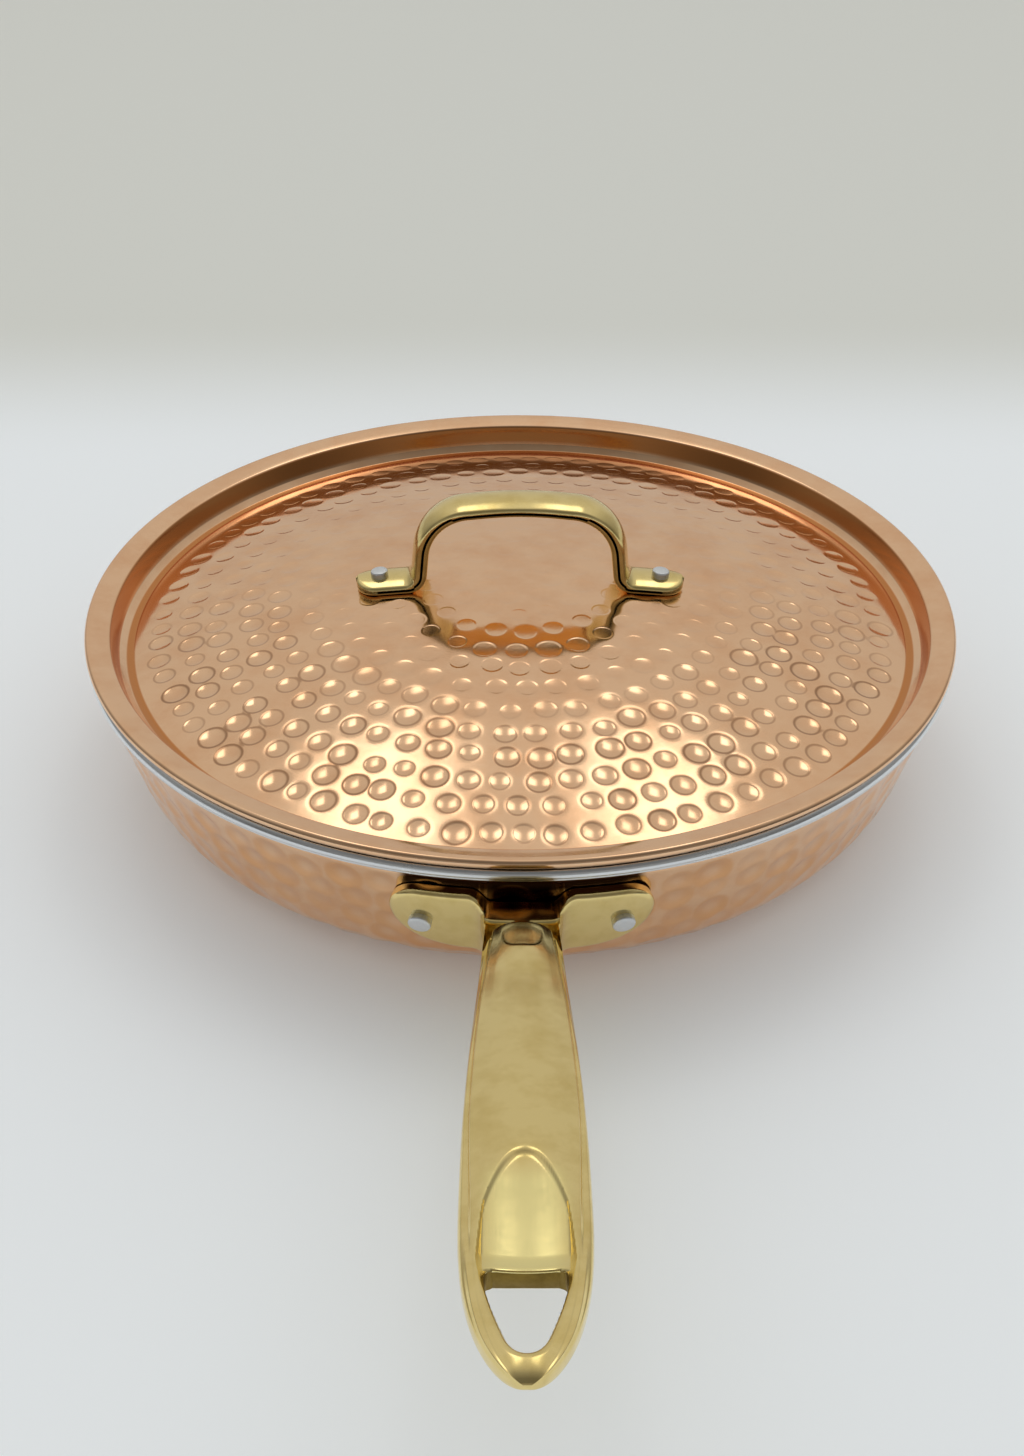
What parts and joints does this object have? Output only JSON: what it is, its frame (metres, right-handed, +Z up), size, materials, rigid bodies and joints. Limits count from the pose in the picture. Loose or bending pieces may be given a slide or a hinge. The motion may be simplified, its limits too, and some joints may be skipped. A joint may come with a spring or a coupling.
{
  "type": "frying pan",
  "caption": "Round shallow frying pan of hammered copper lined with steel, with a dished lid, a long cast brass handle and a brass strap handle on the lid.",
  "frame": {"origin": "centre of the flat base of the pan, on the surface that it stands on", "axes": "+Z up, the long handle points along -Y, +X to the right seen from the handle"},
  "size_m": [0.266, 0.4296, 0.0873],
  "materials": {
    "hammered_copper": "polished copper, hammered",
    "stainless_steel": "satin stainless steel",
    "cast_brass": "polished cast brass",
    "aluminium_rivet": "dull aluminium"
  },
  "bodies": {
    "pan": {"pan_copper_shell": "hammered_copper", "pan_steel_liner": "stainless_steel", "pan_handle": "cast_brass", "handle_rivet_left": "aluminium_rivet", "handle_rivet_right": "aluminium_rivet"},
    "lid": {"lid_copper_shell": "hammered_copper", "lid_steel_liner": "stainless_steel", "lid_handle": "cast_brass", "lid_rivet_left": "aluminium_rivet", "lid_rivet_right": "aluminium_rivet"}
  },
  "joints": [
    {"name": "lid_lift", "type": "slide", "parent": "pan", "child": "lid", "axis": [0, 0, 1], "range_m": [0, 0.1]}
  ]
}
